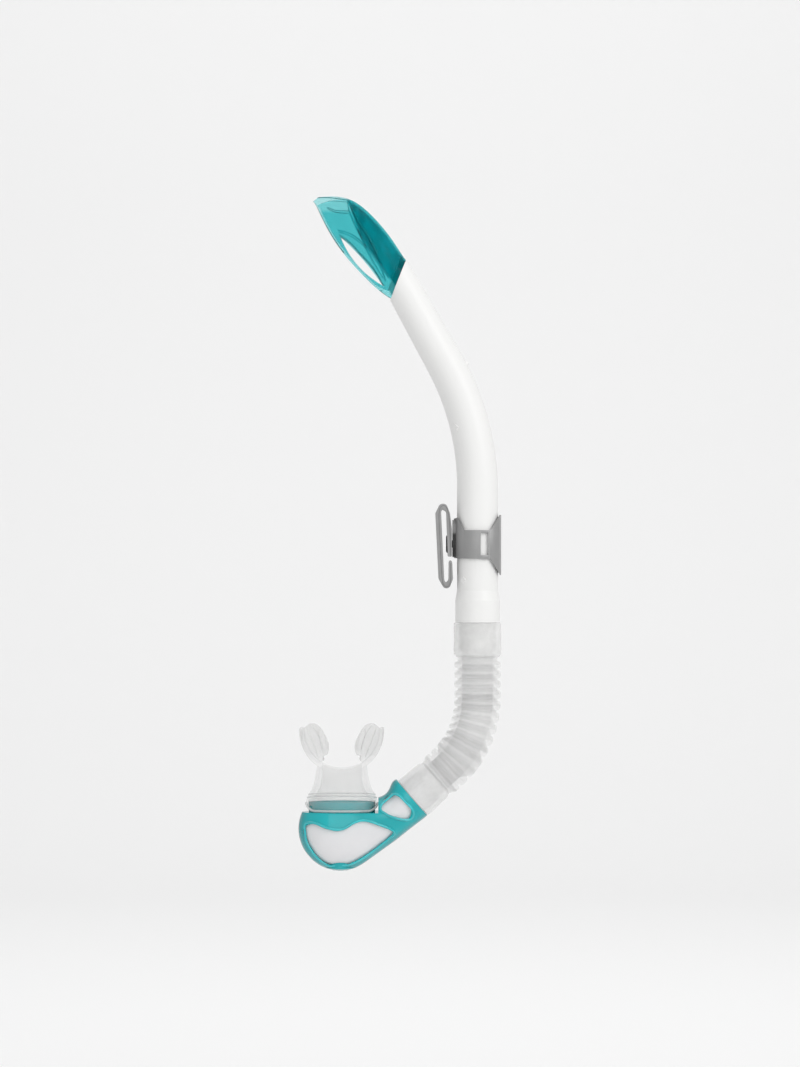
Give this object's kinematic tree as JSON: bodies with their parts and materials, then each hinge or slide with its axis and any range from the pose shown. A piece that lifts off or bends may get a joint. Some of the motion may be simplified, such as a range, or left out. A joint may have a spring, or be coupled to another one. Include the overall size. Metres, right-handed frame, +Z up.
{
  "type": "snorkel",
  "caption": "Diver's snorkel tube with a tinted splash guard, white curved barrel, strap keeper, ribbed soft elbow hose, breathing chamber with purge valve and soft mouthpiece.",
  "frame": {"origin": "middle of the slot in the keeper's clip, which the mask strap runs through", "axes": "+Z up along the straight tube, +X from the clip to the tube's back, +Y across the diver's strap; every bend lies in XZ"},
  "size_m": [0.1218, 0.034, 0.404],
  "materials": {
    "white_plastic": "smooth moulded white tube",
    "tinted_clear": "clear teal moulding, glossy",
    "tinted_gloss": "teal moulding, glossy",
    "milky_plastic": "milky white moulding",
    "clear_silicone": "soft translucent silicone",
    "grey_plastic": "silver-grey moulding, satin",
    "black_plastic": "black moulding",
    "soft_liner": "thin pale friction sleeve"
  },
  "bodies": {
    "tube": {"barrel": "white_plastic", "splash_guard": "tinted_clear", "splash_baffle": "tinted_clear", "hose_upper_cuff": "clear_silicone"},
    "liner": {"keeper_liner": "soft_liner"},
    "keeper": {"keeper_ring": "grey_plastic", "swivel_base": "black_plastic", "swivel_pin": "black_plastic"},
    "clip": {"strap_clip": "grey_plastic"},
    "hose_01": {"hose_segment_01": "clear_silicone"},
    "hose_02": {"hose_segment_02": "clear_silicone"},
    "hose_03": {"hose_segment_03": "clear_silicone"},
    "hose_04": {"hose_segment_04": "clear_silicone"},
    "hose_05": {"hose_segment_05": "clear_silicone"},
    "hose_06": {"hose_segment_06": "clear_silicone"},
    "hose_07": {"hose_segment_07": "clear_silicone"},
    "hose_08": {"hose_segment_08": "clear_silicone"},
    "hose_09": {"hose_segment_09": "clear_silicone"},
    "hose_10": {"hose_segment_10": "clear_silicone"},
    "hose_11": {"hose_segment_11": "clear_silicone"},
    "hose_12": {"hose_segment_12": "clear_silicone"},
    "hose_13": {"hose_segment_13": "clear_silicone"},
    "cuff": {"hose_lower_cuff": "clear_silicone"},
    "chamber": {"chamber_frame": "tinted_gloss", "chamber_shell": "milky_plastic", "purge_seat": "milky_plastic", "purge_cover": "tinted_gloss", "mouthpiece": "clear_silicone"},
    "valve": {"purge_valve_disc": "clear_silicone"}
  },
  "joints": [
    {"name": "keeper_slide", "type": "slide", "parent": "tube", "child": "liner", "axis": [0, 0, 1], "range_m": [-0.0105, 0.015]},
    {"name": "keeper_turn", "type": "hinge", "parent": "liner", "child": "keeper", "pos_m": [0.0192, 0, 0.0012], "axis": [0, 0, 1], "continuous": true},
    {"name": "clip_swivel", "type": "hinge", "parent": "keeper", "child": "clip", "pos_m": [0.003, 0, 0.0012], "axis": [1, 0, 0], "continuous": true},
    {"name": "hose_bend", "type": "hinge", "parent": "tube", "child": "hose_01", "pos_m": [0.0192, 0, -0.0679], "axis": [0, 1, 0], "range_deg": [-6.12, 3.75], "stiffness_Nm_per_rad": 0.16, "springref_deg": 9.71},
    {"name": "hose_sway", "type": "hinge", "parent": "hose_01", "child": "hose_02", "pos_m": [0.0192, 0, -0.0739], "axis": [1, 0, 0], "range_deg": [-5, 5], "stiffness_Nm_per_rad": 0.16},
    {"name": "hose_bend_2", "type": "hinge", "parent": "hose_02", "child": "hose_03", "pos_m": [0.0192, 0, -0.0799], "axis": [0, 1, 0], "range_deg": [-6.12, 3.75], "stiffness_Nm_per_rad": 0.16, "springref_deg": 9.71},
    {"name": "hose_sway_2", "type": "hinge", "parent": "hose_03", "child": "hose_04", "pos_m": [0.0192, 0, -0.0859], "axis": [1, 0, 0], "range_deg": [-5, 5], "stiffness_Nm_per_rad": 0.16},
    {"name": "hose_bend_3", "type": "hinge", "parent": "hose_04", "child": "hose_05", "pos_m": [0.0192, 0, -0.0919], "axis": [0, 1, 0], "range_deg": [-6.12, 3.75], "stiffness_Nm_per_rad": 0.16, "springref_deg": 9.71},
    {"name": "hose_sway_3", "type": "hinge", "parent": "hose_05", "child": "hose_06", "pos_m": [0.01888, 0, -0.09789], "axis": [0.9943, 0, -0.1067], "range_deg": [-5, 5], "stiffness_Nm_per_rad": 0.16},
    {"name": "hose_bend_4", "type": "hinge", "parent": "hose_06", "child": "hose_07", "pos_m": [0.01792, 0, -0.10381], "axis": [0, 1, 0], "range_deg": [-6.12, 3.75], "stiffness_Nm_per_rad": 0.16, "springref_deg": 9.49},
    {"name": "hose_sway_4", "type": "hinge", "parent": "hose_07", "child": "hose_08", "pos_m": [0.01634, 0, -0.10959], "axis": [0.949, 0, -0.3152], "range_deg": [-5, 5], "stiffness_Nm_per_rad": 0.16},
    {"name": "hose_bend_5", "type": "hinge", "parent": "hose_08", "child": "hose_09", "pos_m": [0.01415, 0, -0.11517], "axis": [0, 1, 0], "range_deg": [-6.12, 3.75], "stiffness_Nm_per_rad": 0.16, "springref_deg": 8.88},
    {"name": "hose_sway_5", "type": "hinge", "parent": "hose_09", "child": "hose_10", "pos_m": [0.01137, 0, -0.12049], "axis": [0.8605, 0, -0.5094], "range_deg": [-5, 5], "stiffness_Nm_per_rad": 0.16},
    {"name": "hose_bend_6", "type": "hinge", "parent": "hose_10", "child": "hose_11", "pos_m": [0.00805, 0, -0.12548], "axis": [0, 1, 0], "range_deg": [-6.12, 3.75], "stiffness_Nm_per_rad": 0.16, "springref_deg": 7.95},
    {"name": "hose_sway_6", "type": "hinge", "parent": "hose_11", "child": "hose_12", "pos_m": [0.00421, 0, -0.13009], "axis": [0.7328, 0, -0.6804], "range_deg": [-5, 5], "stiffness_Nm_per_rad": 0.16},
    {"name": "hose_bend_7", "type": "hinge", "parent": "hose_12", "child": "hose_13", "pos_m": [-0.0001, 0, -0.13426], "axis": [0, 1, 0], "range_deg": [-6.12, 3.75], "stiffness_Nm_per_rad": 0.16, "springref_deg": 6.77},
    {"name": "hose_sway_7", "type": "hinge", "parent": "hose_13", "child": "cuff", "pos_m": [-0.00463, 0, -0.1382], "axis": [0.6561, 0, -0.7547], "range_deg": [-5, 5], "stiffness_Nm_per_rad": 0.16},
    {"name": "chamber_turn", "type": "hinge", "parent": "cuff", "child": "chamber", "pos_m": [-0.01958, 0, -0.15119], "axis": [-0.7547, 0, -0.6561], "range_deg": [-60, 60]},
    {"name": "purge_lift", "type": "slide", "parent": "chamber", "child": "valve", "axis": [0, 0, -1], "range_m": [0, 0.0012], "stiffness_N_per_m": 60, "springref_m": -0.0003}
  ],
  "couplings": [
    {"joint": "hose_bend_2", "follows": "hose_bend", "ratio": 1},
    {"joint": "hose_sway_2", "follows": "hose_sway", "ratio": 1},
    {"joint": "hose_bend_3", "follows": "hose_bend", "ratio": 1},
    {"joint": "hose_sway_3", "follows": "hose_sway", "ratio": 1},
    {"joint": "hose_bend_4", "follows": "hose_bend", "ratio": 1},
    {"joint": "hose_sway_4", "follows": "hose_sway", "ratio": 1},
    {"joint": "hose_bend_5", "follows": "hose_bend", "ratio": 1},
    {"joint": "hose_sway_5", "follows": "hose_sway", "ratio": 1},
    {"joint": "hose_bend_6", "follows": "hose_bend", "ratio": 1},
    {"joint": "hose_sway_6", "follows": "hose_sway", "ratio": 1},
    {"joint": "hose_bend_7", "follows": "hose_bend", "ratio": 1},
    {"joint": "hose_sway_7", "follows": "hose_sway", "ratio": 1}
  ]
}
